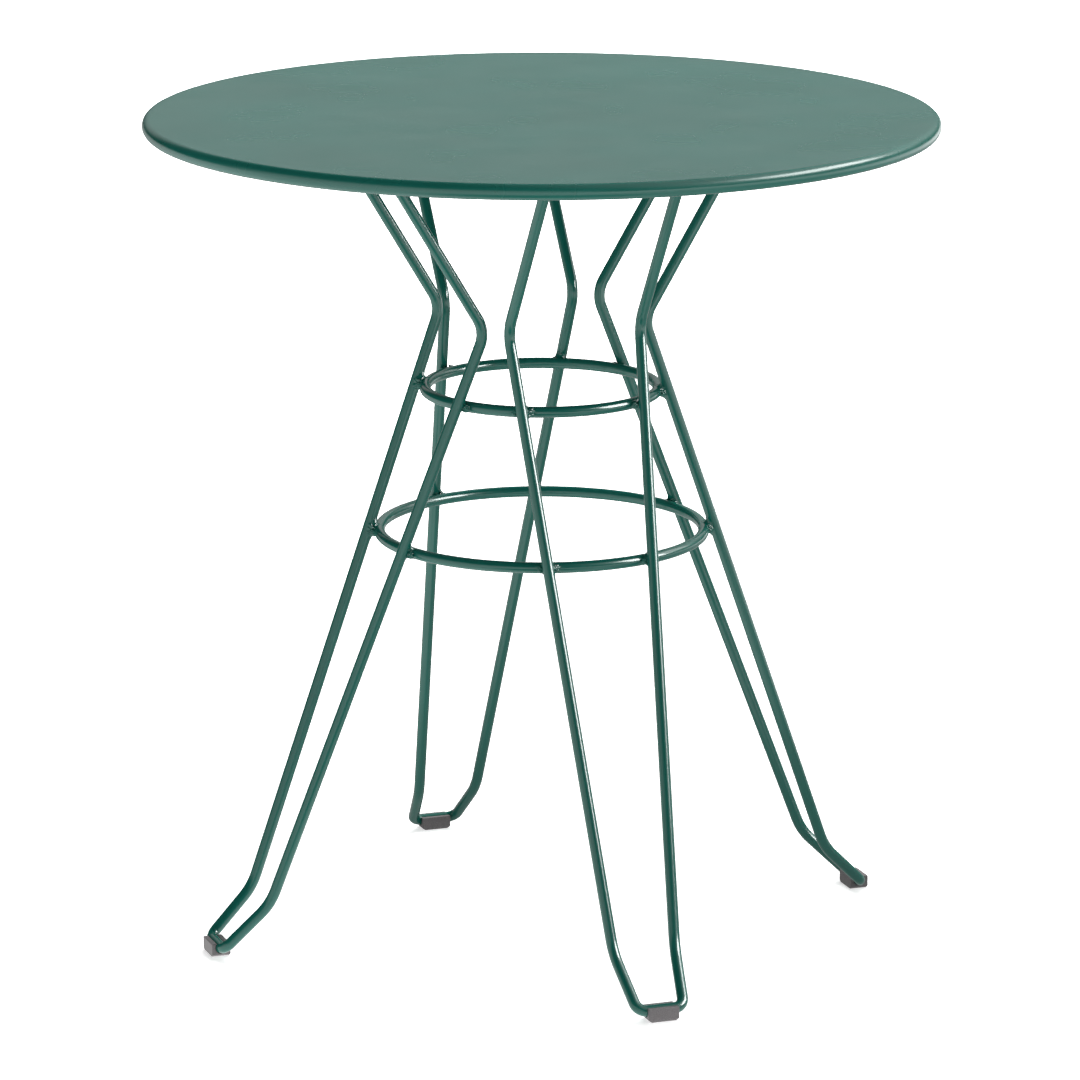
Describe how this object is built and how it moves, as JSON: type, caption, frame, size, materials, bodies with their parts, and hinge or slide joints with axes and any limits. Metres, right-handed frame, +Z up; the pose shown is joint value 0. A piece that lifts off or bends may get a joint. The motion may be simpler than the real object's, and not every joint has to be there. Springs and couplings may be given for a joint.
{
  "type": "bistro table",
  "caption": "Round sheet-steel cafe table with a rolled rim, on a waisted cage of bent-rod hairpin legs tied by two rod rings, with plastic glides under the feet.",
  "frame": {"origin": "on the floor under the centre of the round top", "axes": "+Z up; the four legs stand on -Y (front), +X (right), +Y (back) and -X (left)"},
  "size_m": [0.7, 0.7, 0.737],
  "materials": {
    "top_paint": "satin green powder coat on sheet steel",
    "frame_paint": "satin green powder coat on round rod",
    "zinc_fixings": "bright zinc plate",
    "glide_plastic": "matt grey moulded polyamide"
  },
  "bodies": {
    "root": {"tabletop": "top_paint", "stiffening_ring": "frame_paint", "clinch_studs": "zinc_fixings", "leg_plate_front": "frame_paint", "leg_plate_right": "frame_paint", "leg_plate_back": "frame_paint", "leg_plate_left": "frame_paint", "leg_front": "frame_paint", "leg_right": "frame_paint", "leg_back": "frame_paint", "leg_left": "frame_paint", "upper_ring": "frame_paint", "lower_ring": "frame_paint", "upper_ring_welds": "frame_paint", "lower_ring_welds": "frame_paint", "plate_welds": "frame_paint", "washers": "zinc_fixings", "nuts": "zinc_fixings", "glide_front": "glide_plastic", "glide_right": "glide_plastic", "glide_back": "glide_plastic", "glide_left": "glide_plastic"}
  },
  "joints": []
}
